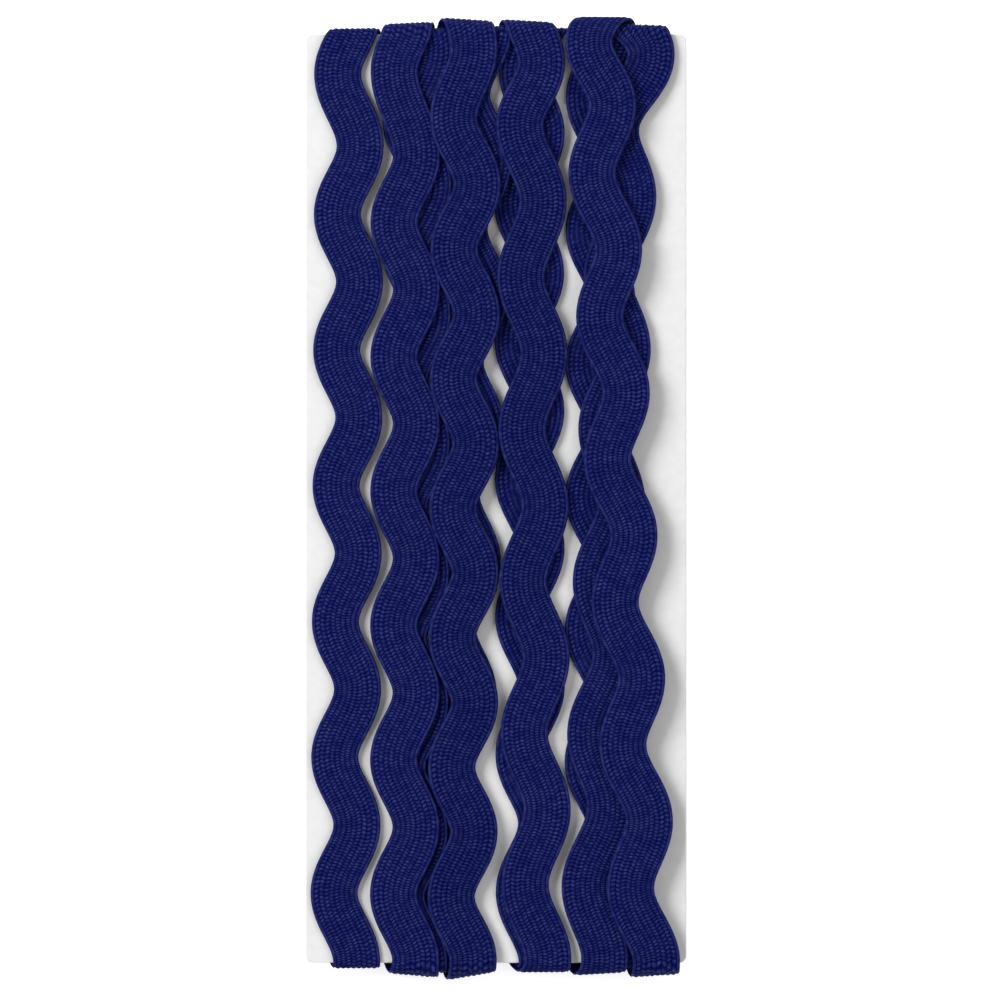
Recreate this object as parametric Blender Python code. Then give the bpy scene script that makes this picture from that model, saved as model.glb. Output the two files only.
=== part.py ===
"""Ric rac wound lengthwise round a plain white card, lying on its back.

+X runs across the card, +Y up its length and +Z out of its front. The origin is
under the middle of the roll, on the surface that it lies on. The tape is one
continuous band. It goes up the front, over the top edge, down the back and round
the bottom edge, and each pass rides on whatever was wound before it.
"""
import math

import bpy
import numpy as np

MM = 0.001
FULL_TURN = 2 * math.pi

# The card
CARD_WIDTH = 48.5 * MM
CARD_HEIGHT = 118.2 * MM
CARD_THICKNESS = 0.5 * MM
CARD_CLEARANCE = 0.3 * MM

# The tape, a band woven in a wave
TAPE_WIDTH = 6.0 * MM
TAPE_THICKNESS = 0.6 * MM
WAVE_LENGTH = 17.8 * MM
WAVE_SWING = 1.43 * MM
LAYER_GAP = 0.05 * MM
LAYER = TAPE_THICKNESS + LAYER_GAP
# The share of its thickness left where it is pulled over an edge, and the stations
# on either side that it takes to fill out again
TURN_SHARE = 0.7
FILLING_STEPS = 5

# The loop that the tape lies on: straight front and back, and round turns
TURN_INSET = 0.3 * MM
HALF_RUN = CARD_HEIGHT / 2 - TURN_INSET
TURN_RADIUS = CARD_THICKNESS / 2 + CARD_CLEARANCE
FRONT_STEPS = 64
TURN_STEPS = 8
BACK_STEPS = 58
LAP_STEPS = FRONT_STEPS + BACK_STEPS + 2 * TURN_STEPS

# A front pass may change its slant at the neck, and starts down the back past the turn
NECK = 45.0 * MM
PAST_TURN = 6.0 * MM
# The point of its wave at which each pass starts up the front
FOOT_PHASE = 0.0

# Both ends of the tape lie on the back
START_TAIL = 20.0 * MM
START_TAIL_X = 19.6 * MM
END_TAIL = 17.0 * MM

# How the band is laid: sample sizes, steepest tilt, and stations that one bump eases over
SAMPLE = 0.25 * MM
CELL = 0.1 * MM
GRID_HALF_WIDTH = 30.0 * MM
DRIFT_WINDOW = 33
STEEPEST_TILT = 0.3
TILT_COST = 0.3 * MM
EASE = 2
LOOK_AHEAD = 6

# One row for each front pass, in winding order, in mm: where the middle of the
# wave crosses the foot, neck and top of the front, where it starts down the back,
# the height of one left and one right bend near the top, and the least number of
# layers that the pass stands off the card.
PASS_COLUMNS = ("name", "foot", "neck", "top", "over", "left_bend", "right_bend", "level")
PASS_TABLE = (
    ("right_under", 13.1, 13.3, 13.3, 13.1, 50.9, 59.7, 0.0),
    ("middle_under", 4.4, 4.2, 5.1, 5.4, 54.4, 46.2, 0.0),
    ("third_under", -5.3, -2.3, -2.3, -2.3, 51.2, 60.1, 0.0),
    ("left_under", -10.6, -10.0, -10.0, -10.0, 48.1, 57.0, 0.0),
    ("first", -19.2, -18.7, -18.7, -19.3, 54.0, 44.8, 0.0),
    ("second", -11.6, -11.5, -11.5, -12.6, 54.3, 43.6, 0.0),
    ("third", -4.3, -3.8, -4.3, -3.8, 48.1, 57.3, 1.0),
    ("fourth", 5.2, 4.5, 4.3, 4.5, 47.4, 55.4, 1.0),
    ("fifth", 12.4, 16.2, 18.8, 14.5, 47.8, 55.7, 0.0),
    ("sixth", 19.0, 13.4, 13.2, 13.4, 57.8, 50.0, 3.1),
)
PASSES = [dict(zip(PASS_COLUMNS, row)) for row in PASS_TABLE]

# Flat spots that the roll rests on, all in one plane: the number of the pass whose
# stretch down the back makes the spot, and the heights that it lies between, in mm
REST_COLUMNS = ("pass", "low", "high")
REST_TABLE = (
    (5, 4.0, 24.0),
    (8, -56.0, -36.0),
    (9, 42.0, 55.0),
)
REST_SPOTS = [dict(zip(REST_COLUMNS, row)) for row in REST_TABLE]
REST_HEIGHT = 2.75 * MM

# Colours
BLUE = (0.012, 0.017, 0.115, 1.0)
WHITE = (0.85, 0.85, 0.86, 1.0)


def clear_scene():
    for item in list(bpy.data.objects):
        bpy.data.objects.remove(item, do_unlink=True)


def plain_material(name, colour, roughness):
    material = bpy.data.materials.new(name)
    material.use_nodes = True
    shader = material.node_tree.nodes["Principled BSDF"]
    shader.inputs["Base Color"].default_value = colour
    shader.inputs["Roughness"].default_value = roughness
    shader.inputs["Metallic"].default_value = 0.0
    return material


def lap_stations():
    """One lap from the foot of the front: y, z and the outward normal's y and z."""
    stations = []
    for step in range(FRONT_STEPS):
        y = HALF_RUN * (2 * step / FRONT_STEPS - 1)
        stations.append((y, TURN_RADIUS, 0.0, 1.0))
    for step in range(TURN_STEPS):
        angle = math.pi / 2 - math.pi * step / TURN_STEPS
        away, out = math.cos(angle), math.sin(angle)
        stations.append((HALF_RUN + TURN_RADIUS * away, TURN_RADIUS * out, away, out))
    for step in range(BACK_STEPS):
        y = HALF_RUN * (1 - 2 * step / BACK_STEPS)
        stations.append((y, -TURN_RADIUS, 0.0, -1.0))
    for step in range(TURN_STEPS):
        angle = -math.pi / 2 - math.pi * step / TURN_STEPS
        away, out = math.cos(angle), math.sin(angle)
        stations.append((TURN_RADIUS * away - HALF_RUN, TURN_RADIUS * out, away, out))
    return np.array(stations)


def travel():
    """Every station's number, counted from the first foot, and the length travelled there."""
    front = 2 * HALF_RUN / FRONT_STEPS
    back = 2 * HALF_RUN / BACK_STEPS
    tail_steps = round(START_TAIL / back)
    end_steps = round(END_TAIL / back)
    first = -TURN_STEPS - tail_steps
    last = len(PASSES) * LAP_STEPS - TURN_STEPS - BACK_STEPS + end_steps
    numbers = np.arange(first, last + 1)
    steps = []
    for number in numbers[:-1]:
        place = number % LAP_STEPS
        level = PASSES[max(0, number // LAP_STEPS)]["level"]
        arc = math.pi * (TURN_RADIUS + level * LAYER + TAPE_THICKNESS / 2) / TURN_STEPS
        if place < FRONT_STEPS:
            steps.append(front)
        elif FRONT_STEPS + TURN_STEPS <= place < LAP_STEPS - TURN_STEPS:
            steps.append(back)
        else:
            steps.append(arc)
    lengths = np.concatenate([[0.0], np.cumsum(steps)])
    return numbers, lengths - lengths[-first]


def wave_phase(foot_lengths, fine):
    """The wave's phase: a whole turn at each right bend and a half turn at each left one."""
    places = []
    phases = []
    for foot, row in zip(foot_lengths, PASSES):
        bends = [(row["left_bend"] * MM, math.pi), (row["right_bend"] * MM, FULL_TURN)]
        anchors = [(-HALF_RUN, FOOT_PHASE)] + sorted(bends)
        for y, phase in anchors:
            place = foot + y + HALF_RUN
            if places:
                expected = phases[-1] + FULL_TURN * (place - places[-1]) / WAVE_LENGTH
                phase += FULL_TURN * round((expected - phase) / FULL_TURN)
            places.append(place)
            phases.append(phase)
    rate = FULL_TURN / WAVE_LENGTH
    places = [fine[0]] + places + [fine[-1]]
    first_phase = phases[0] - rate * (places[1] - places[0])
    last_phase = phases[-1] + rate * (places[-1] - places[-2])
    return np.interp(fine, places, [first_phase] + phases + [last_phase])


def wave_middle(foot_lengths, fine):
    """Where the middle of the wave lies across the card, eased from pass to pass."""
    places = [foot_lengths[0] - START_TAIL]
    drifts = [START_TAIL_X]
    for foot, row in zip(foot_lengths, PASSES):
        top = foot + 2 * HALF_RUN
        places += [foot, foot + HALF_RUN + NECK, top, top + PAST_TURN]
        drifts += [row[column] * MM for column in ("foot", "neck", "top", "over")]
    window = np.hanning(DRIFT_WINDOW)
    padded = np.pad(np.interp(fine, places, drifts), DRIFT_WINDOW // 2, mode="edge")
    return np.convolve(padded, window / window.sum(), mode="valid")


def band_edges(numbers, lengths):
    """The left and right edges at each station, parallel to the wave between them."""
    foot_lengths = [lengths[numbers == lap * LAP_STEPS][0] for lap in range(len(PASSES))]
    fine = np.arange(lengths[0] - WAVE_LENGTH, lengths[-1] + WAVE_LENGTH, SAMPLE)
    wave = WAVE_SWING * np.cos(wave_phase(foot_lengths, fine))
    middle = wave_middle(foot_lengths, fine) + wave
    slope = np.gradient(middle, fine)
    reach = TAPE_WIDTH / 2 / np.sqrt(1 + slope ** 2)
    left = np.interp(lengths, fine + reach * slope, middle - reach)
    right = np.interp(lengths, fine - reach * slope, middle + reach)
    return left, right


def lap_thickness():
    """The band's thickness at each station of a lap, less over the two edges."""
    steps = np.arange(LAP_STEPS)
    half_turn = TURN_STEPS / 2
    from_top = np.abs(steps - FRONT_STEPS - half_turn)
    from_foot = np.minimum(steps + half_turn, np.abs(LAP_STEPS - half_turn - steps))
    beyond = np.minimum(from_top, from_foot) - half_turn
    filled = np.clip(beyond / FILLING_STEPS, 0, 1)
    return TAPE_THICKNESS * (TURN_SHARE + (1 - TURN_SHARE) * filled)


def least_height(number, stations, thickness):
    """The least height of the band's underside at one station."""
    lap = number // LAP_STEPS
    y, z = stations[number % LAP_STEPS][:2]
    for spot in REST_SPOTS:
        if lap == spot["pass"] and z == -TURN_RADIUS and spot["low"] * MM < y < spot["high"] * MM:
            return REST_HEIGHT
    return PASSES[max(0, lap)]["level"] * (thickness[number % LAP_STEPS] + LAYER_GAP)


def resting_line(across, bumps):
    """Lift at the middle and tilt of a flat band laid over bumps."""
    tilts = np.linspace(-STEEPEST_TILT, STEEPEST_TILT, 61)
    lifts = (bumps[None, :] - tilts[:, None] * across[None, :]).max(axis=1)
    best = np.argmin(lifts + TILT_COST * np.abs(tilts))
    return lifts[best], tilts[best]


def eased(values):
    """Spread each rise over its neighbours, so that no value comes out lower."""
    count = len(values)
    window = range(2 * EASE + 1)
    padded = np.pad(values, EASE, mode="edge")
    raised = np.max([padded[k:k + count] for k in window], axis=0)
    padded = np.pad(raised, EASE, mode="edge")
    return np.mean([padded[k:k + count] for k in window], axis=0)


def lay_band(numbers, left, right):
    """Height of the band's left and right undersides, each pass over those below it."""
    grid = np.arange(-GRID_HALF_WIDTH, GRID_HALF_WIDTH, CELL)
    wound = np.zeros((LAP_STEPS, len(grid)))
    slots = numbers % LAP_STEPS
    count = len(numbers)
    stations = lap_stations()
    thickness = lap_thickness()
    least = [least_height(number, stations, thickness) for number in numbers]
    under_left = np.zeros(count)
    under_right = np.zeros(count)
    settled = 0
    for start in range(0, count, LAP_STEPS // 2):
        stop = min(start + LAP_STEPS // 2, count)
        lead = min(stop + LOOK_AHEAD, count)
        for k in range(start, lead):
            near = slice(max(0, k - 1), k + 2)
            span = (grid > left[near].min() - 2 * CELL) & (grid < right[near].max() + 2 * CELL)
            rows = [(slots[k] + shift) % LAP_STEPS for shift in (-1, 0, 1)]
            bumps = np.maximum(wound[rows][:, span].max(axis=0), least[k])
            centre = (left[k] + right[k]) / 2
            lift, tilt = resting_line(grid[span] - centre, bumps)
            under_left[k] = lift + tilt * (left[k] - centre)
            under_right[k] = lift + tilt * (right[k] - centre)
        behind = max(0, start - LOOK_AHEAD)
        for edge in (under_left, under_right):
            edge[start:stop] = eased(edge[behind:lead])[start - behind:stop - behind]
        for k in range(settled, stop - EASE):
            span = (grid > left[k] - CELL) & (grid < right[k] + CELL)
            share = (grid[span] - left[k]) / (right[k] - left[k])
            tops = under_left[k] + share * (under_right[k] - under_left[k])
            tops += thickness[slots[k]] + LAYER_GAP
            wound[slots[k], span] = np.maximum(wound[slots[k], span], tops)
        settled = stop - EASE
    return under_left, under_right


def winding_mesh():
    """The wound band: a section of four corners at each station, closed at both ends."""
    numbers, lengths = travel()
    left, right = band_edges(numbers, lengths)
    under_left, under_right = lay_band(numbers, left, right)
    stations = lap_stations()[numbers % LAP_STEPS]
    thickness = lap_thickness()[numbers % LAP_STEPS]
    corners = []
    for x, height in (
        (left, under_left),
        (right, under_right),
        (right, under_right + thickness),
        (left, under_left + thickness),
    ):
        y = stations[:, 0] + stations[:, 2] * height
        z = stations[:, 1] + stations[:, 3] * height
        corners.append(np.stack([x, y, z], axis=1))
    points = np.stack(corners, axis=1).reshape(-1, 3)
    faces = [(0, 1, 2, 3)]
    for section in range(len(numbers) - 1):
        here = 4 * section
        for side in range(4):
            after = (side + 1) % 4
            faces.append((here + side, here + 4 + side, here + 4 + after, here + after))
    last = len(points) - 4
    faces.append((last + 3, last + 2, last + 1, last))
    return points, faces


def card_mesh():
    """The card, a thin plate about the middle of the loop."""
    x, y, z = CARD_WIDTH / 2, CARD_HEIGHT / 2, CARD_THICKNESS / 2
    outline = ((-x, -y), (x, -y), (x, y), (-x, y))
    points = np.array([(px, py, pz) for pz in (-z, z) for px, py in outline])
    faces = [(3, 2, 1, 0), (4, 5, 6, 7)]
    for side in range(4):
        after = (side + 1) % 4
        faces.append((side, after, 4 + after, 4 + side))
    return points, faces


def add_object(name, points, faces, material):
    mesh = bpy.data.meshes.new(name)
    mesh.from_pydata(points.tolist(), [], faces)
    mesh.validate()
    mesh.materials.append(material)
    item = bpy.data.objects.new(name, mesh)
    bpy.context.scene.collection.objects.link(item)
    return item


def build():
    clear_scene()
    tape = plain_material("tape_blue", BLUE, 0.75)
    card = plain_material("card_white", WHITE, 0.6)
    band_points, band_faces = winding_mesh()
    card_points, card_faces = card_mesh()
    everything = np.concatenate([band_points, card_points])
    low, high = everything.min(axis=0), everything.max(axis=0)
    origin = np.array([(low[0] + high[0]) / 2, (low[1] + high[1]) / 2, low[2]])
    add_object("winding", band_points - origin, band_faces, tape)
    add_object("card", card_points - origin, card_faces, card)


build()
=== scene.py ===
"""Ric rac wound on a white card: the woven band, the card, light and camera.

The band's path is worked out from the same sizes as the frame's winding. It runs up
the front, over the top edge, down the back and round the bottom edge, and each pass
lies over those wound before it. Lengths are in metres and tables are in mm.
"""
import math

import bpy
import numpy as np
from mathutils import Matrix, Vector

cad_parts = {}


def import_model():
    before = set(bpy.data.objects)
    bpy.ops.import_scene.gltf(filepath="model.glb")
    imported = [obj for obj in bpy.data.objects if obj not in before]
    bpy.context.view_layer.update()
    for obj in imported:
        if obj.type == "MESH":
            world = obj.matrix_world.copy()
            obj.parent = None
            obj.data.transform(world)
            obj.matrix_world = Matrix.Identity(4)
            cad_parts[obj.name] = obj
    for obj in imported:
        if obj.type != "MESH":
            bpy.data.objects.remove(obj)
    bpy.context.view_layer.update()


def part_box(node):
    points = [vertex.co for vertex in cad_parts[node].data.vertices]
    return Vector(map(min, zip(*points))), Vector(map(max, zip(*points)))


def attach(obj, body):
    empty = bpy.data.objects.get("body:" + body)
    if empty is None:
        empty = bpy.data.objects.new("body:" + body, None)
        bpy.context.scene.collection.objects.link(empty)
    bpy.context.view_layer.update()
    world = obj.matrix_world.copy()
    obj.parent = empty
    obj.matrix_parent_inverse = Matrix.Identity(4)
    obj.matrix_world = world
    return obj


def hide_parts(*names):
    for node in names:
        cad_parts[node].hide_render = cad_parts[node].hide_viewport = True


MM = 0.001
FULL_TURN = 2 * math.pi

# The photograph's frame, the real size of its pixels and where the card's middle is in it
PIXEL = 0.127 * MM
FRAME_PIXELS = 1000
CARD_MIDDLE_PIXEL = (496.0, 498.5)

# The card
CARD_THICKNESS = 0.5 * MM
CARD_CLEARANCE = 0.3 * MM
CARD_HEIGHT = 118.2 * MM

# The band and the wave that it is woven in
TAPE_WIDTH = 6.0 * MM
TAPE_THICKNESS = 0.6 * MM
WAVE_LENGTH = 17.8 * MM
WAVE_SWING = 1.43 * MM
LAYER_GAP = 0.05 * MM
LAYER = TAPE_THICKNESS + LAYER_GAP
# The share of its thickness left where it is pulled over an edge, and the stations
# on either side that it takes to fill out again
TURN_SHARE = 0.7
FILLING_STEPS = 5

# The loop that the band lies on, in steps from the foot of the front
TURN_INSET = 0.3 * MM
HALF_RUN = CARD_HEIGHT / 2 - TURN_INSET
TURN_RADIUS = CARD_THICKNESS / 2 + CARD_CLEARANCE
FRONT_STEPS = 64
TURN_STEPS = 8
BACK_STEPS = 58
LAP_STEPS = FRONT_STEPS + BACK_STEPS + 2 * TURN_STEPS
NECK = 45.0 * MM
PAST_TURN = 6.0 * MM
FOOT_PHASE = 0.0
START_TAIL = 20.0 * MM
START_TAIL_X = 19.6 * MM
END_TAIL = 17.0 * MM

# How the band is laid
SAMPLE = 0.25 * MM
CELL = 0.1 * MM
GRID_HALF_WIDTH = 30.0 * MM
DRIFT_WINDOW = 33
STEEPEST_TILT = 0.3
TILTS_TRIED = 61
TILT_COST = 0.3 * MM
EASE = 2
LOOK_AHEAD = 6

# One row for each pass up the front, in winding order, in mm: the middle of the wave
# at the foot, neck and top of the front and just down the back, the height of one left
# and one right bend near the top, and the least number of layers off the card.
PASS_COLUMNS = ("name", "foot", "neck", "top", "over", "left_bend", "right_bend", "level")
PASS_TABLE = (
    ("right_under", 13.1, 13.3, 13.3, 13.1, 50.9, 59.7, 0.0),
    ("middle_under", 4.4, 4.2, 5.1, 5.4, 54.4, 46.2, 0.0),
    ("third_under", -5.3, -2.3, -2.3, -2.3, 51.2, 60.1, 0.0),
    ("left_under", -10.6, -10.0, -10.0, -10.0, 48.1, 57.0, 0.0),
    ("first", -19.2, -18.7, -18.7, -19.3, 54.0, 44.8, 0.0),
    ("second", -11.6, -11.5, -11.5, -12.6, 54.3, 43.6, 0.0),
    ("third", -4.3, -3.8, -4.3, -3.8, 48.1, 57.3, 1.0),
    ("fourth", 5.2, 4.5, 4.3, 4.5, 47.4, 55.4, 1.0),
    ("fifth", 12.4, 16.2, 18.8, 14.5, 47.8, 55.7, 0.0),
    ("sixth", 19.0, 13.4, 13.2, 13.4, 57.8, 50.0, 3.1),
)
PASSES = [dict(zip(PASS_COLUMNS, row)) for row in PASS_TABLE]
UNDER_PASSES = 4

# Flat spots that the roll rests on: a pass's stretch down the back, between heights in mm
REST_COLUMNS = ("pass", "low", "high")
REST_TABLE = (
    (5, 4.0, 24.0),
    (8, -56.0, -36.0),
    (9, 42.0, 55.0),
)
REST_SPOTS = [dict(zip(REST_COLUMNS, row)) for row in REST_TABLE]
REST_HEIGHT = 2.75 * MM

# The weave: columns of oval stitches that drift in and out of step, between two smooth
# cords along the edges
COLUMNS = 8
STITCH = 0.42 * MM
FINE = {"rows": 4, "points": 3}
PLAIN = {"rows": 2, "points": 2}
WEAVE_HALF_WIDTH = 2.58 * MM
WEAVE_RISE = 0.30
PROUD = 0.04 * MM
STITCH_REACH = 0.60
STITCH_SLANT = 0.42
STITCH_FLOOR = 0.22
DRIFT_STITCHES = 9
DRIFT_REACH = 0.55
CORD_WIDTH = TAPE_WIDTH / 2 - WEAVE_HALF_WIDTH
SMOOTHING = 17
# The edge cords' one fixed place between painted shade and painted highlight
CORD_PAINTED_SHADING = 0.62
UV_SCALE = 100.0
SEED = 11

# The band's section beside the weave: how far in from its edge, as a share of the
# cord's width, and how high, as a share of the thickness
CORD_SIDE = (0.0, 0.48)
CORD_CREST = (0.34, 0.93)
CORD_FOOT = (0.78, 0.80)
CORD_UNDERSIDE = (0.25, 0.08)
BELLY_HEIGHT = 0.12
OFF_WEAVE = -1.0

# The card's rounded corners and edge
CARD_WIDTH = 48.5 * MM
CARD_CORNER = 0.9 * MM
CARD_EDGE = 0.12 * MM
CORNER_STEPS = 6

# Colours
# Yarn colours: the dye, a painted shade for the gaps between stitches, and a paler painted highlight
# for spots on the stitches
YARN_PAINTED_SHADE = (0.0003, 0.0012, 0.047, 1)
YARN = (0.0110, 0.0168, 0.124, 1)
YARN_PAINTED_HIGHLIGHT = (0.039, 0.051, 0.197, 1)
YARN_SHEEN = (0.45, 0.50, 1.0, 1)
CARD_DULL = (0.70, 0.70, 0.70, 1)
CARD_CLEAR = (0.74, 0.74, 0.74, 1)
FLOOR = (0.92, 0.92, 0.92, 1)
WHITE = (1, 1, 1, 1)

# Surfaces: noise scales per metre, or per UV unit for the filaments, and bumps in metres
# Noise spots of painted highlight on the yarn, and the span of stitch relief that goes from painted
# shade to painted highlight
HIGHLIGHT_SPOT_SCALE = 1500.0
HIGHLIGHT_SPOT_RANGE = (0.38, 0.72)
PAINTED_SHADE_AND_HIGHLIGHT_RANGE = (0.25, 0.9)
FILAMENT_STRETCH = (30.0, 150.0, 1.0)
FILAMENT_BUMP = 0.03 * MM
GRAIN_SCALE = 900.0
GRAIN_RANGE = (0.3, 0.7)
GRAIN_BUMP = 0.04 * MM

# Camera, floor and lights; each light's name, place, size and power in watts
CAMERA_LENS = 250.0
SENSOR_WIDTH = 36.0
FACE_HEIGHT = 2.0 * MM
FARTHEST_SEEN = 20.0
FLOOR_REACH = 3.0
FLOOR_GLOW = 0.55
LIGHTS = (
    ("key", (-0.55, 0.35, 0.6), 0.4, 7.4),
    ("fill", (0.55, -0.2, 0.7), 0.6, 2.4),
)
STUDIO_BRIGHTNESS = 0.42


def lap_stations():
    """One lap from the foot of the front: y, z and the outward normal's y and z."""
    return np.stack(loop_places(np.arange(LAP_STEPS)), axis=1)


def loop_places(numbers):
    """The loop at whole or part stations: y, z and the outward normal's y and z."""
    step = np.mod(numbers, LAP_STEPS)
    top = FRONT_STEPS
    back = top + TURN_STEPS
    foot = back + BACK_STEPS
    over = math.pi * (step - top) / TURN_STEPS
    below = math.pi * (step - foot) / TURN_STEPS
    flat = np.zeros(np.shape(step))
    front_y = HALF_RUN * (2 * step / top - 1)
    back_y = HALF_RUN * (1 - 2 * (step - back) / BACK_STEPS)
    on = [step < top, step < back, step < foot]
    away = np.select(on, [flat, np.sin(over), flat], -np.sin(below))
    out = np.select(on, [flat + 1, np.cos(over), flat - 1], -np.cos(below))
    y = np.select(on, [front_y, flat + HALF_RUN, back_y], -HALF_RUN) + TURN_RADIUS * away
    return y, TURN_RADIUS * out, away, out


def travel():
    """Every station's number, counted from the first foot, and the length travelled there."""
    front = 2 * HALF_RUN / FRONT_STEPS
    back = 2 * HALF_RUN / BACK_STEPS
    tail_steps = round(START_TAIL / back)
    end_steps = round(END_TAIL / back)
    first = -TURN_STEPS - tail_steps
    last = len(PASSES) * LAP_STEPS - TURN_STEPS - BACK_STEPS + end_steps
    numbers = np.arange(first, last + 1)
    steps = []
    for number in numbers[:-1]:
        place = number % LAP_STEPS
        level = PASSES[max(0, number // LAP_STEPS)]["level"]
        arc = math.pi * (TURN_RADIUS + level * LAYER + TAPE_THICKNESS / 2) / TURN_STEPS
        if place < FRONT_STEPS:
            steps.append(front)
        elif FRONT_STEPS + TURN_STEPS <= place < LAP_STEPS - TURN_STEPS:
            steps.append(back)
        else:
            steps.append(arc)
    lengths = np.concatenate([[0.0], np.cumsum(steps)])
    return numbers, lengths - lengths[-first]


def wave_phase(foot_lengths, fine):
    """The wave's phase: a whole turn at each right bend and a half turn at each left one."""
    places = []
    phases = []
    for foot, row in zip(foot_lengths, PASSES):
        bends = [(row["left_bend"] * MM, math.pi), (row["right_bend"] * MM, FULL_TURN)]
        anchors = [(-HALF_RUN, FOOT_PHASE)] + sorted(bends)
        for y, phase in anchors:
            place = foot + y + HALF_RUN
            if places:
                expected = phases[-1] + FULL_TURN * (place - places[-1]) / WAVE_LENGTH
                phase += FULL_TURN * round((expected - phase) / FULL_TURN)
            places.append(place)
            phases.append(phase)
    rate = FULL_TURN / WAVE_LENGTH
    places = [fine[0]] + places + [fine[-1]]
    first_phase = phases[0] - rate * (places[1] - places[0])
    last_phase = phases[-1] + rate * (places[-1] - places[-2])
    return np.interp(fine, places, [first_phase] + phases + [last_phase])


def wave_middle(foot_lengths, fine):
    """Where the middle of the wave lies across the card, eased from pass to pass."""
    places = [foot_lengths[0] - START_TAIL]
    drifts = [START_TAIL_X]
    for foot, row in zip(foot_lengths, PASSES):
        top = foot + 2 * HALF_RUN
        places += [foot, foot + HALF_RUN + NECK, top, top + PAST_TURN]
        drifts += [row[column] * MM for column in ("foot", "neck", "top", "over")]
    window = np.hanning(DRIFT_WINDOW)
    padded = np.pad(np.interp(fine, places, drifts), DRIFT_WINDOW // 2, mode="edge")
    return np.convolve(padded, window / window.sum(), mode="valid")


def band_course(numbers, lengths):
    """Lengths every quarter of a millimetre, and the band's middle and slope there."""
    foot_lengths = [lengths[numbers == lap * LAP_STEPS][0] for lap in range(len(PASSES))]
    fine = np.arange(lengths[0] - WAVE_LENGTH, lengths[-1] + WAVE_LENGTH, SAMPLE)
    wave = WAVE_SWING * np.cos(wave_phase(foot_lengths, fine))
    middle = wave_middle(foot_lengths, fine) + wave
    return fine, middle, np.gradient(middle, fine)


def band_edges(lengths, fine, middle, slope):
    """The left and right edges at each length, parallel to the wave between them."""
    reach = TAPE_WIDTH / 2 / np.sqrt(1 + slope ** 2)
    left = np.interp(lengths, fine + reach * slope, middle - reach)
    right = np.interp(lengths, fine - reach * slope, middle + reach)
    return left, right


def lap_thickness():
    """The band's thickness at each station of a lap, less over the two edges."""
    steps = np.arange(LAP_STEPS)
    half_turn = TURN_STEPS / 2
    from_top = np.abs(steps - FRONT_STEPS - half_turn)
    from_foot = np.minimum(steps + half_turn, np.abs(LAP_STEPS - half_turn - steps))
    beyond = np.minimum(from_top, from_foot) - half_turn
    filled = np.clip(beyond / FILLING_STEPS, 0, 1)
    return TAPE_THICKNESS * (TURN_SHARE + (1 - TURN_SHARE) * filled)


def least_height(number, stations, thickness):
    """The least height of the band's underside at one station."""
    lap = number // LAP_STEPS
    y, z = stations[number % LAP_STEPS][:2]
    for spot in REST_SPOTS:
        if lap == spot["pass"] and z == -TURN_RADIUS and spot["low"] * MM < y < spot["high"] * MM:
            return REST_HEIGHT
    return PASSES[max(0, lap)]["level"] * (thickness[number % LAP_STEPS] + LAYER_GAP)


def resting_line(across, bumps):
    """Lift at the middle and tilt of a flat band laid over bumps."""
    tilts = np.linspace(-STEEPEST_TILT, STEEPEST_TILT, TILTS_TRIED)
    lifts = (bumps[None, :] - tilts[:, None] * across[None, :]).max(axis=1)
    best = np.argmin(lifts + TILT_COST * np.abs(tilts))
    return lifts[best], tilts[best]


def eased(values):
    """Spread each rise over its neighbours, so that no value comes out lower."""
    count = len(values)
    window = range(2 * EASE + 1)
    padded = np.pad(values, EASE, mode="edge")
    painted_shade_and_highlight = np.max([padded[k:k + count] for k in window], axis=0)
    padded = np.pad(painted_shade_and_highlight, EASE, mode="edge")
    return np.mean([padded[k:k + count] for k in window], axis=0)


def lay_band(numbers, left, right):
    """Height of the band's left and right undersides, each pass over those below it."""
    grid = np.arange(-GRID_HALF_WIDTH, GRID_HALF_WIDTH, CELL)
    wound = np.zeros((LAP_STEPS, len(grid)))
    slots = numbers % LAP_STEPS
    count = len(numbers)
    stations = lap_stations()
    thickness = lap_thickness()
    least = [least_height(number, stations, thickness) for number in numbers]
    under_left = np.zeros(count)
    under_right = np.zeros(count)
    settled = 0
    for start in range(0, count, LAP_STEPS // 2):
        stop = min(start + LAP_STEPS // 2, count)
        lead = min(stop + LOOK_AHEAD, count)
        for k in range(start, lead):
            near = slice(max(0, k - 1), k + 2)
            span = (grid > left[near].min() - 2 * CELL) & (grid < right[near].max() + 2 * CELL)
            rows = [(slots[k] + shift) % LAP_STEPS for shift in (-1, 0, 1)]
            bumps = np.maximum(wound[rows][:, span].max(axis=0), least[k])
            centre = (left[k] + right[k]) / 2
            lift, tilt = resting_line(grid[span] - centre, bumps)
            under_left[k] = lift + tilt * (left[k] - centre)
            under_right[k] = lift + tilt * (right[k] - centre)
        behind = max(0, start - LOOK_AHEAD)
        for edge in (under_left, under_right):
            edge[start:stop] = eased(edge[behind:lead])[start - behind:stop - behind]
        for k in range(settled, stop - EASE):
            span = (grid > left[k] - CELL) & (grid < right[k] + CELL)
            share = (grid[span] - left[k]) / (right[k] - left[k])
            tops = under_left[k] + share * (under_right[k] - under_left[k])
            tops += thickness[slots[k]] + LAYER_GAP
            wound[slots[k], span] = np.maximum(wound[slots[k], span], tops)
        settled = stop - EASE
    return under_left, under_right


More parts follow.
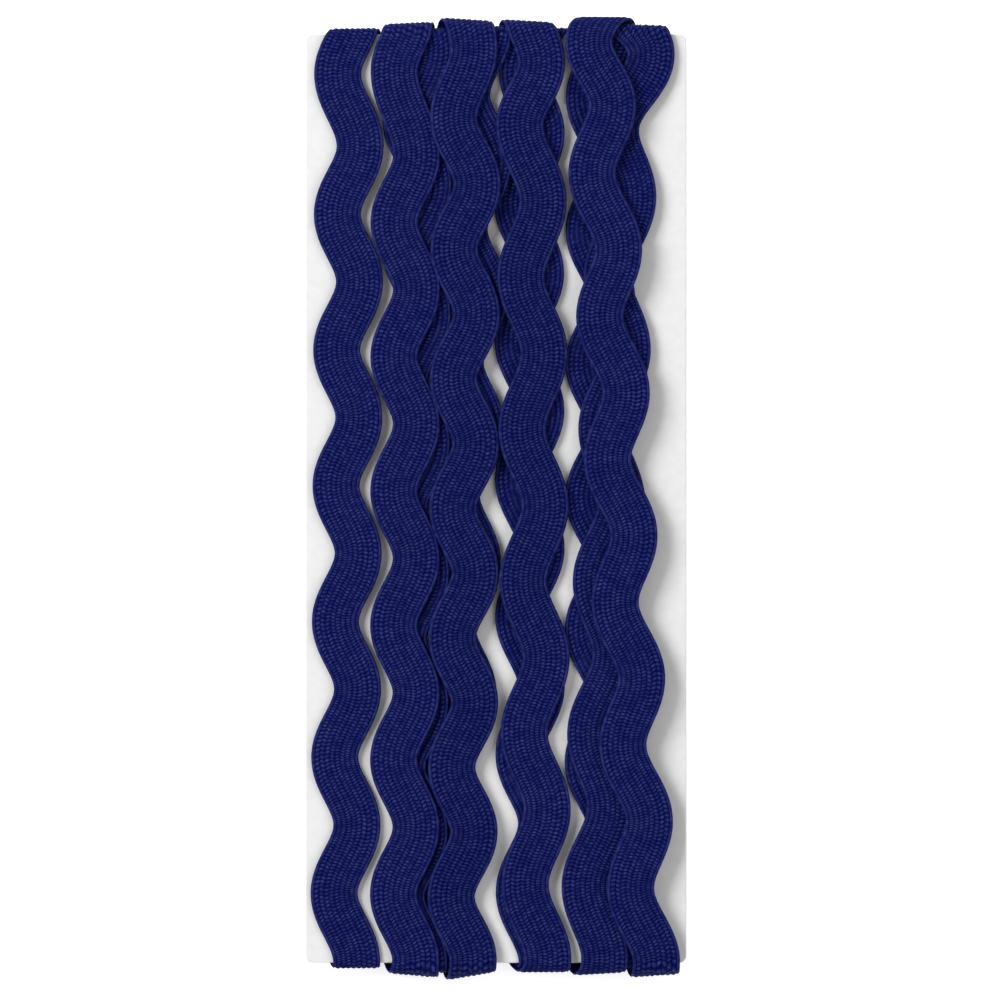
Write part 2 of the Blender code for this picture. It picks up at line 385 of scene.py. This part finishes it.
def band_profile(column_points):
    """One section of the band, round from its left edge: offsets across it, shares of
    its thickness, and each point's place among the columns, or -1 off the weave."""
    def beside(side, spot):
        inset, height = spot
        return side * (TAPE_WIDTH / 2 - inset * CORD_WIDTH), height, OFF_WEAVE

    cord = (CORD_SIDE, CORD_CREST, CORD_FOOT)
    points = [beside(-1, spot) for spot in cord]
    count = column_points * COLUMNS
    for k in range(count + 1):
        across = WEAVE_HALF_WIDTH * (2 * k / count - 1)
        points.append((across, 1 - WEAVE_RISE, k / column_points))
    points += [beside(1, spot) for spot in cord[::-1]]
    points += [beside(1, CORD_UNDERSIDE), (0.0, BELLY_HEIGHT, OFF_WEAVE), beside(-1, CORD_UNDERSIDE)]
    return np.array(points)


def stitch_relief(stitches, places, drift):
    """How far each point of the weave stands up, from 0 in a gap to 1 on a stitch."""
    best = np.zeros((len(stitches), len(places)))
    knots = np.arange(drift.shape[1]) * DRIFT_STITCHES
    for column in range(COLUMNS):
        aside = places - column - 0.5
        across = np.clip(1 - (aside / STITCH_REACH) ** 2, 0, 1) * (places >= 0)
        slant = STITCH_SLANT * (1 if column % 2 else -1)
        shift = 0.5 * (column % 2) + np.interp(stitches, knots, drift[column])
        turns = (stitches + shift)[:, None] + slant * aside[None, :]
        along = STITCH_FLOOR + (1 - STITCH_FLOOR) * (0.5 + 0.5 * np.cos(FULL_TURN * turns))
        best = np.maximum(best, across[None, :] * along)
    return best


class Band:
    """The whole wound band: its course, and where any point on or in it lies."""

    def __init__(self):
        self.numbers, self.lengths = travel()
        self.fine, self.middle, self.slope = band_course(self.numbers, self.lengths)
        left, right = band_edges(self.lengths, self.fine, self.middle, self.slope)
        under = lay_band(self.numbers, left, right)
        self.left, self.right = band_edges(self.fine, self.fine, self.middle, self.slope)
        self.thickness = np.append(lap_thickness(), TAPE_THICKNESS * TURN_SHARE)
        window = np.hanning(SMOOTHING)
        self.under = []
        for edge in under:
            padded = np.pad(np.interp(self.fine, self.lengths, edge), SMOOTHING // 2, mode="edge")
            self.under.append(np.convolve(padded, window / window.sum(), mode="valid"))
        generator = np.random.default_rng(SEED)
        run = np.sqrt(1 + self.slope ** 2) * SAMPLE
        self.arc = np.concatenate([[0.0], np.cumsum((run[1:] + run[:-1]) / 2)])
        knots = int(self.arc[-1] / STITCH / DRIFT_STITCHES) + 2
        self.drift = generator.uniform(-DRIFT_REACH, DRIFT_REACH, (COLUMNS, knots))

    def rows(self, start, stop, spacing):
        """Lengths travelled, and lengths along the wave, evenly spaced between stations."""
        ends = np.interp([start, stop], self.numbers, self.lengths)
        first, last = np.interp(ends, self.fine, self.arc)
        arcs = np.linspace(first, last, round((last - first) / spacing) + 1)
        return np.interp(arcs, self.arc, self.fine), arcs

    def points(self, lengths, offsets, heights, rises):
        """Points at offsets across the band, and heights as shares of its thickness
        plus rises in metres."""
        middle = np.interp(lengths, self.fine, self.middle)[:, None]
        slope = np.interp(lengths, self.fine, self.slope)[:, None]
        stretch = np.sqrt(1 + slope ** 2)
        x = middle + offsets / stretch
        along = lengths[:, None] - offsets * slope / stretch
        left, right, low_left, low_right = (
            np.interp(along, self.fine, values)
            for values in (self.left, self.right, *self.under)
        )
        share = (x - left) / (right - left)
        numbers = np.interp(along, self.lengths, self.numbers)
        thickness = np.interp(numbers % LAP_STEPS, np.arange(LAP_STEPS + 1), self.thickness)
        height = low_left + share * (low_right - low_left) + heights * thickness + rises
        y, z, away, out = loop_places(numbers)
        return np.stack([x, y + away * height, z + out * height], axis=-1)


def strand_mesh(name, band, origin, start, stop, detail):
    """One stretch of the woven band between two stations, closed at both ends."""
    lengths, arcs = band.rows(start, stop, STITCH / detail["rows"])
    profile = band_profile(detail["points"])
    relief = stitch_relief(arcs / STITCH, profile[:, 2], band.drift)
    rises = (WEAVE_RISE * TAPE_THICKNESS + PROUD) * relief
    points = band.points(lengths, profile[:, 0], profile[:, 1], rises)
    count, size = points.shape[:2]
    around = np.arange(size)
    starts = np.arange(count - 1)[:, None] * size
    here = starts + around
    after = starts + (around + 1) % size
    quads = np.stack([here, here + size, after + size, after], axis=-1).reshape(-1, 4)
    faces = quads.tolist() + [around.tolist(), (around[::-1] + (count - 1) * size).tolist()]
    mesh = bpy.data.meshes.new(name)
    mesh.from_pydata((points.reshape(-1, 3) + origin).tolist(), [], faces)
    smooth = np.ones(len(faces), bool)
    smooth[-2:] = False
    mesh.polygons.foreach_set("use_smooth", smooth)
    place = np.stack(np.broadcast_arrays(profile[None, :, 0], arcs[:, None]), axis=-1)
    layer = mesh.uv_layers.new(name="along_the_band")
    corner_points = np.zeros(len(mesh.loops), np.int32)
    mesh.loops.foreach_get("vertex_index", corner_points)
    uv = place.reshape(-1, 2)[corner_points] * UV_SCALE
    layer.data.foreach_set("uv", uv.astype(np.float32).ravel())
    # The relief also colours the weave, painted shade in the gaps and painted highlight on the
    # stitches; the edge cords get one fixed value
    on_cord = (profile[:, 2] == OFF_WEAVE) & (profile[:, 1] >= CORD_SIDE[1])
    shade = np.where(on_cord[None, :], CORD_PAINTED_SHADING, relief)
    attribute = mesh.attributes.new("painted_shade_and_highlight", "FLOAT", "POINT")
    attribute.data.foreach_set("value", shade.astype(np.float32).ravel())
    return mesh


def card_mesh(name, origin):
    """The card: a plate with rounded corners and a softened edge."""
    half = CARD_THICKNESS / 2
    shoulder = half - CARD_EDGE
    outline = ((CARD_EDGE, -half), (0, -shoulder), (0, shoulder), (CARD_EDGE, half))
    corners = ((1, 1), (-1, 1), (-1, -1), (1, -1))
    rings = []
    for inset, z in outline:
        reach = CARD_CORNER - inset
        ring = []
        for quarter, (side_x, side_y) in enumerate(corners):
            centre_x = side_x * (CARD_WIDTH / 2 - CARD_CORNER)
            centre_y = side_y * (CARD_HEIGHT / 2 - CARD_CORNER)
            for step in range(CORNER_STEPS + 1):
                angle = (quarter + step / CORNER_STEPS) * math.pi / 2
                x = centre_x + reach * math.cos(angle)
                y = centre_y + reach * math.sin(angle)
                ring.append((x, y, z))
        rings.append(ring)
    size = len(rings[0])
    last = len(rings) - 1
    points = np.array(rings).reshape(-1, 3) + origin
    faces = [list(range(size))[::-1], list(range(last * size, (last + 1) * size))]
    for ring in range(last):
        low = ring * size
        high = low + size
        for k in range(size):
            after = (k + 1) % size
            faces.append([low + k, low + after, high + after, high + k])
    mesh = bpy.data.meshes.new(name)
    mesh.from_pydata(points.tolist(), [], faces)
    return mesh


def add_piece(name, mesh, material, node):
    mesh.materials.append(material)
    piece = bpy.data.objects.new(name, mesh)
    bpy.context.scene.collection.objects.link(piece)
    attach(piece, "root")
    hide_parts(node)


def new_material(name):
    material = bpy.data.materials.new(name)
    material.use_nodes = True
    tree = material.node_tree
    return material, tree, tree.nodes["Principled BSDF"]


def mixed_colour(tree, share, low, high):
    """A colour between two others, by a share."""
    mix = tree.nodes.new("ShaderNodeMix")
    mix.data_type = "RGBA"
    mix.inputs["A"].default_value = low
    mix.inputs["B"].default_value = high
    tree.links.new(share, mix.inputs["Factor"])
    return mix.outputs["Result"]


def ranged(tree, value, ends):
    """A value taken from the range between two ends to 0 to 1."""
    node = tree.nodes.new("ShaderNodeMapRange")
    for name, number in zip(("From Min", "From Max"), ends):
        node.inputs[name].default_value = number
    tree.links.new(value, node.inputs["Value"])
    return node.outputs["Result"]


def noise(tree, vector, scale, detail):
    node = tree.nodes.new("ShaderNodeTexNoise")
    node.inputs["Scale"].default_value = scale
    node.inputs["Detail"].default_value = detail
    tree.links.new(vector, node.inputs["Vector"])
    return node.outputs["Fac"]


def add_bump(tree, height, shader, strength, distance):
    node = tree.nodes.new("ShaderNodeBump")
    node.inputs["Strength"].default_value = strength
    node.inputs["Distance"].default_value = distance
    tree.links.new(height, node.inputs["Height"])
    tree.links.new(node.outputs["Normal"], shader.inputs["Normal"])


def tape_material():
    """Dyed yarn with painted shade between the stitches and painted highlight on them, paler in
    spots, and fine filaments.
    """
    material, tree, shader = new_material("ric_rac_yarn")
    # The relief picks painted shade in the gaps or lit yarn on the stitches, a painted highlight
    # that noise makes paler in spots
    painted_shade_and_highlight = tree.nodes.new("ShaderNodeAttribute")
    painted_shade_and_highlight.attribute_name = "painted_shade_and_highlight"
    coordinates = tree.nodes.new("ShaderNodeTexCoord")
    highlight_spots = noise(tree, coordinates.outputs["Object"], HIGHLIGHT_SPOT_SCALE, 2.0)
    lit = mixed_colour(tree, ranged(tree, highlight_spots, HIGHLIGHT_SPOT_RANGE), YARN, YARN_PAINTED_HIGHLIGHT)
    mix = tree.nodes.new("ShaderNodeMix")
    mix.data_type = "RGBA"
    mix.inputs["A"].default_value = YARN_PAINTED_SHADE
    tree.links.new(lit, mix.inputs["B"])
    tree.links.new(ranged(tree, painted_shade_and_highlight.outputs["Fac"], PAINTED_SHADE_AND_HIGHLIGHT_RANGE), mix.inputs["Factor"])
    tree.links.new(mix.outputs["Result"], shader.inputs["Base Color"])
    stretch = tree.nodes.new("ShaderNodeMapping")
    stretch.inputs["Scale"].default_value = FILAMENT_STRETCH
    tree.links.new(coordinates.outputs["UV"], stretch.inputs["Vector"])
    filaments = noise(tree, stretch.outputs["Vector"], 1.0, 2.0)
    add_bump(tree, filaments, shader, 0.5, FILAMENT_BUMP)
    shader.inputs["Roughness"].default_value = 0.62
    shader.inputs["Specular IOR Level"].default_value = 0.03
    shader.inputs["Sheen Weight"].default_value = 0.005
    shader.inputs["Sheen Roughness"].default_value = 0.45
    shader.inputs["Sheen Tint"].default_value = YARN_SHEEN
    return material


def card_material():
    """White card with a faint fibre grain."""
    material, tree, shader = new_material("white_card")
    coordinates = tree.nodes.new("ShaderNodeTexCoord")
    grain = noise(tree, coordinates.outputs["Object"], GRAIN_SCALE, 4.0)
    colour = mixed_colour(tree, ranged(tree, grain, GRAIN_RANGE), CARD_DULL, CARD_CLEAR)
    tree.links.new(colour, shader.inputs["Base Color"])
    add_bump(tree, grain, shader, 0.3, GRAIN_BUMP)
    shader.inputs["Roughness"].default_value = 0.7
    shader.inputs["Specular IOR Level"].default_value = 0.3
    return material


def add_camera(origin):
    """Straight above, framing what the photograph frames."""
    camera = bpy.data.cameras.new("camera")
    camera.lens = CAMERA_LENS
    camera.sensor_width = SENSOR_WIDTH
    item = bpy.data.objects.new("camera", camera)
    bpy.context.scene.collection.objects.link(item)
    across = (FRAME_PIXELS / 2 - CARD_MIDDLE_PIXEL[0]) * PIXEL
    up = (CARD_MIDDLE_PIXEL[1] - FRAME_PIXELS / 2) * PIXEL
    distance = FRAME_PIXELS * PIXEL * CAMERA_LENS / SENSOR_WIDTH
    item.location = (origin[0] + across, origin[1] + up, origin[2] + FACE_HEIGHT + distance)
    camera.clip_end = FARTHEST_SEEN
    bpy.context.scene.camera = item


def add_light(name, place, size, power):
    light = bpy.data.lights.new(name, "AREA")
    light.shape = "SQUARE"
    light.size = size
    light.energy = power
    item = bpy.data.objects.new(name, light)
    bpy.context.scene.collection.objects.link(item)
    item.location = place
    item.rotation_euler = item.location.to_track_quat("Z", "Y").to_euler()


def add_surroundings():
    """A pale floor, and soft light from all round."""
    mesh = bpy.data.meshes.new("floor")
    corners = ((-1, -1), (1, -1), (1, 1), (-1, 1))
    points = [(x * FLOOR_REACH, y * FLOOR_REACH, 0) for x, y in corners]
    mesh.from_pydata(points, [], [range(len(points))])
    material, tree, shader = new_material("pale_floor")
    shader.inputs["Base Color"].default_value = FLOOR
    shader.inputs["Roughness"].default_value = 0.9
    shader.inputs["Emission Color"].default_value = WHITE
    shader.inputs["Emission Strength"].default_value = FLOOR_GLOW
    mesh.materials.append(material)
    floor = bpy.data.objects.new("floor", mesh)
    bpy.context.scene.collection.objects.link(floor)
    for light in LIGHTS:
        add_light(*light)
    world = bpy.data.worlds.new("studio")
    world.use_nodes = True
    background = world.node_tree.nodes["Background"]
    background.inputs["Color"].default_value = WHITE
    background.inputs["Strength"].default_value = STUDIO_BRIGHTNESS
    bpy.context.scene.world = world
    bpy.context.scene.view_settings.view_transform = "Standard"


def stretches():
    """The band in pieces: name, first and last station, and how finely it is woven."""
    found = []
    for lap, row in enumerate(PASSES):
        front = lap * LAP_STEPS
        back = front + FRONT_STEPS + TURN_STEPS
        detail = PLAIN if lap < UNDER_PASSES else FINE
        found.append(("strand_" + row["name"], front - TURN_STEPS, back, detail))
        if lap < len(PASSES) - 1:
            found.append(("back_" + row["name"], back, front + LAP_STEPS - TURN_STEPS, PLAIN))
    return found


def main():
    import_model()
    low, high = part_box("card")
    origin = (np.array(low) + np.array(high)) / 2
    add_camera(origin)
    add_surroundings()
    tape = tape_material()
    add_piece("card_sheet", card_mesh("card_sheet", origin), card_material(), "card")
    band = Band()
    parts = stretches()
    parts.append(("back_start", band.numbers[0], parts[0][1], PLAIN))
    parts.append(("back_end", parts[-2][2], band.numbers[-1], PLAIN))
    for name, start, stop, detail in parts:
        mesh = strand_mesh(name, band, origin, start, stop, detail)
        add_piece(name, mesh, tape, "winding")


main()
